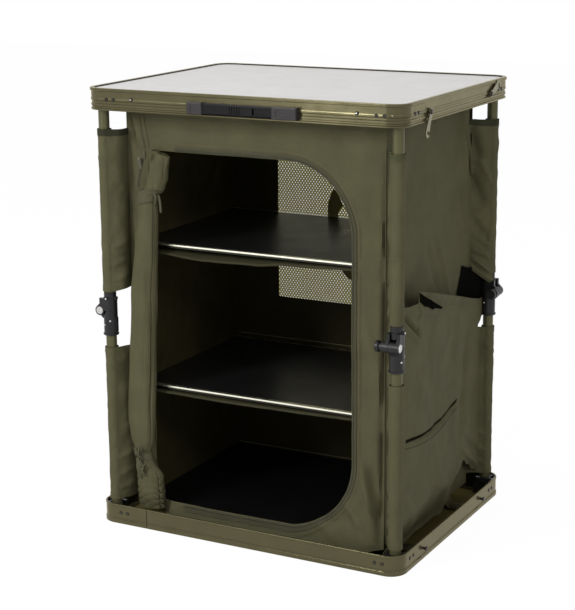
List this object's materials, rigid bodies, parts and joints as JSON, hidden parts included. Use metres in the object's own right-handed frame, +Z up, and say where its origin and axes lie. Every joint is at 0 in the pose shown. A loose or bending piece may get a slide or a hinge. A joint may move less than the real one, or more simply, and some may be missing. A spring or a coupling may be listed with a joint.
{
  "type": "collapsible camping cupboard",
  "caption": "Folding camp storage cupboard: tabletop lid lifted on jointed corner legs above a tray, fabric cupboard with roll-up door and shelves between, packs into a flat case.",
  "frame": {"origin": "on the ground under the middle of the tray frame", "axes": "+X to the right seen from the door, +Y to the rear, +Z up"},
  "size_m": [0.6122, 0.4824, 0.79],
  "materials": {
    "frame_olive": "satin olive powder coat on aluminium extrusion",
    "tube_olive": "satin olive coated tube",
    "tabletop_grey": "pale grey laminated panel, faint satin",
    "black_plastic": "moulded black nylon",
    "dark_rivet": "blackened steel rivets",
    "bright_steel": "bright zinc plated steel",
    "shelf_aluminium": "bright anodised edge rail",
    "shelf_black": "black laminated board",
    "fabric_olive": "coated woven polyester, fine plain weave",
    "mesh_dark": "open woven net",
    "zip_dark": "coil zip"
  },
  "bodies": {
    "base": {"tray_frame": "frame_olive", "tray_corner_brackets": "black_plastic", "tray_rivets": "dark_rivet", "latch_studs": "bright_steel", "tray_cross_straps": "frame_olive", "floor_board": "shelf_black", "cupboard_front": "fabric_olive", "cupboard_body": "fabric_olive", "mesh_window": "mesh_dark", "rolled_door": "fabric_olive", "door_zip": "zip_dark", "side_pocket": "fabric_olive", "corner_flaps": "fabric_olive"},
    "top": {"top_frame": "frame_olive", "tabletop": "tabletop_grey", "top_corner_brackets": "black_plastic", "top_rivets": "dark_rivet", "frame_screws": "bright_steel", "handle_end_caps": "black_plastic"},
    "upper_shelf": {"upper_shelf_board": "shelf_black", "upper_shelf_rails": "shelf_aluminium"},
    "lower_shelf": {"lower_shelf_board": "shelf_black", "lower_shelf_rails": "shelf_aluminium"},
    "grip": {"handle_grip": "black_plastic"},
    "front_left_lower_leg": {"front_left_lower_tube": "tube_olive", "front_left_lower_knee": "black_plastic", "front_left_lower_sleeve": "fabric_olive"},
    "front_left_upper_leg": {"front_left_upper_tube": "tube_olive", "front_left_upper_knee": "black_plastic", "front_left_knee_pin": "bright_steel", "front_left_upper_sleeve": "fabric_olive"},
    "front_left_button": {"front_left_knee_button": "black_plastic"},
    "front_right_lower_leg": {"front_right_lower_tube": "tube_olive", "front_right_lower_knee": "black_plastic", "front_right_lower_sleeve": "fabric_olive"},
    "front_right_upper_leg": {"front_right_upper_tube": "tube_olive", "front_right_upper_knee": "black_plastic", "front_right_knee_pin": "bright_steel", "front_right_upper_sleeve": "fabric_olive"},
    "front_right_button": {"front_right_knee_button": "black_plastic"},
    "rear_right_lower_leg": {"rear_right_lower_tube": "tube_olive", "rear_right_lower_knee": "black_plastic", "rear_right_lower_sleeve": "fabric_olive"},
    "rear_right_upper_leg": {"rear_right_upper_tube": "tube_olive", "rear_right_upper_knee": "black_plastic", "rear_right_knee_pin": "bright_steel", "rear_right_upper_sleeve": "fabric_olive"},
    "rear_right_button": {"rear_right_knee_button": "black_plastic"},
    "rear_left_lower_leg": {"rear_left_lower_tube": "tube_olive", "rear_left_lower_knee": "black_plastic", "rear_left_lower_sleeve": "fabric_olive"},
    "rear_left_upper_leg": {"rear_left_upper_tube": "tube_olive", "rear_left_upper_knee": "black_plastic", "rear_left_knee_pin": "bright_steel", "rear_left_upper_sleeve": "fabric_olive"},
    "rear_left_button": {"rear_left_knee_button": "black_plastic"},
    "hook_front_right": {"latch_hook_front_right": "bright_steel"},
    "hook_rear_right": {"latch_hook_rear_right": "bright_steel"},
    "hook_front_left": {"latch_hook_front_left": "bright_steel"},
    "hook_rear_left": {"latch_hook_rear_left": "bright_steel"}
  },
  "joints": [
    {"name": "fold", "type": "hinge", "parent": "base", "child": "front_left_lower_leg", "pos_m": [-0.274, -0.215, 0.023], "axis": [0, 1, 0], "range_deg": [0, 90], "deforming": ["cupboard_front", "cupboard_body", "mesh_window", "rolled_door", "door_zip", "side_pocket", "corner_flaps"]},
    {"name": "front_left_knee", "type": "hinge", "parent": "front_left_lower_leg", "child": "front_left_upper_leg", "pos_m": [-0.289, -0.215, 0.395], "axis": [0, 1, 0], "range_deg": [-180, 0]},
    {"name": "front_left_button_press", "type": "slide", "parent": "front_left_upper_leg", "child": "front_left_button", "axis": [0, -1, 0], "range_m": [0, 0.005], "stiffness_N_per_m": 300, "springref_m": -0.003},
    {"name": "front_right_fold", "type": "hinge", "parent": "base", "child": "front_right_lower_leg", "pos_m": [0.28, -0.209, 0.023], "axis": [-1, 0, 0], "range_deg": [0, 90]},
    {"name": "front_right_knee", "type": "hinge", "parent": "front_right_lower_leg", "child": "front_right_upper_leg", "pos_m": [0.28, -0.224, 0.395], "axis": [-1, 0, 0], "range_deg": [-180, 0]},
    {"name": "front_right_button_press", "type": "slide", "parent": "front_right_upper_leg", "child": "front_right_button", "axis": [1, 0, 0], "range_m": [0, 0.005], "stiffness_N_per_m": 300, "springref_m": -0.003},
    {"name": "rear_right_fold", "type": "hinge", "parent": "base", "child": "rear_right_lower_leg", "pos_m": [0.274, 0.215, 0.023], "axis": [0, -1, 0], "range_deg": [0, 90]},
    {"name": "rear_right_knee", "type": "hinge", "parent": "rear_right_lower_leg", "child": "rear_right_upper_leg", "pos_m": [0.289, 0.215, 0.395], "axis": [0, -1, 0], "range_deg": [-180, 0]},
    {"name": "rear_right_button_press", "type": "slide", "parent": "rear_right_upper_leg", "child": "rear_right_button", "axis": [0, 1, 0], "range_m": [0, 0.005], "stiffness_N_per_m": 300, "springref_m": -0.003},
    {"name": "rear_left_fold", "type": "hinge", "parent": "base", "child": "rear_left_lower_leg", "pos_m": [-0.28, 0.209, 0.023], "axis": [1, 0, 0], "range_deg": [0, 90]},
    {"name": "rear_left_knee", "type": "hinge", "parent": "rear_left_lower_leg", "child": "rear_left_upper_leg", "pos_m": [-0.28, 0.224, 0.395], "axis": [1, 0, 0], "range_deg": [-180, 0]},
    {"name": "rear_left_button_press", "type": "slide", "parent": "rear_left_upper_leg", "child": "rear_left_button", "axis": [-1, 0, 0], "range_m": [0, 0.005], "stiffness_N_per_m": 300, "springref_m": -0.003},
    {"name": "lid_level", "type": "hinge", "parent": "front_left_upper_leg", "child": "top", "pos_m": [-0.274, -0.215, 0.767], "axis": [0, 1, 0], "range_deg": [0, 90]},
    {"name": "upper_shelf_lower", "type": "slide", "parent": "base", "child": "upper_shelf", "axis": [0, 0, -1], "range_m": [0, 0.4695]},
    {"name": "lower_shelf_lower", "type": "slide", "parent": "base", "child": "lower_shelf", "axis": [0, 0, -1], "range_m": [0, 0.2185]},
    {"name": "handle_pull", "type": "slide", "parent": "top", "child": "grip", "axis": [0, -1, 0], "range_m": [0, 0.02]},
    {"name": "hook_front_right_swing", "type": "hinge", "parent": "top", "child": "hook_front_right", "pos_m": [0.3026, -0.133, 0.768], "axis": [-1, 0, 0], "range_deg": [-25, 87]},
    {"name": "hook_rear_right_swing", "type": "hinge", "parent": "top", "child": "hook_rear_right", "pos_m": [0.3026, 0.133, 0.768], "axis": [1, 0, 0], "range_deg": [-112, 0]},
    {"name": "hook_front_left_swing", "type": "hinge", "parent": "top", "child": "hook_front_left", "pos_m": [-0.3026, -0.133, 0.768], "axis": [-1, 0, 0], "range_deg": [-112, 0]},
    {"name": "hook_rear_left_swing", "type": "hinge", "parent": "top", "child": "hook_rear_left", "pos_m": [-0.3026, 0.133, 0.768], "axis": [1, 0, 0], "range_deg": [-112, 0]}
  ],
  "couplings": [
    {"joint": "front_left_knee", "follows": "fold", "ratio": -2},
    {"joint": "front_right_fold", "follows": "fold", "ratio": 1},
    {"joint": "front_right_knee", "follows": "fold", "ratio": -2},
    {"joint": "rear_right_fold", "follows": "fold", "ratio": 1},
    {"joint": "rear_right_knee", "follows": "fold", "ratio": -2},
    {"joint": "rear_left_fold", "follows": "fold", "ratio": 1},
    {"joint": "rear_left_knee", "follows": "fold", "ratio": -2},
    {"joint": "lid_level", "follows": "fold", "ratio": 1},
    {"joint": "upper_shelf_lower", "follows": "fold", "m_per_rad": 0.29857},
    {"joint": "lower_shelf_lower", "follows": "fold", "m_per_rad": 0.13878}
  ]
}
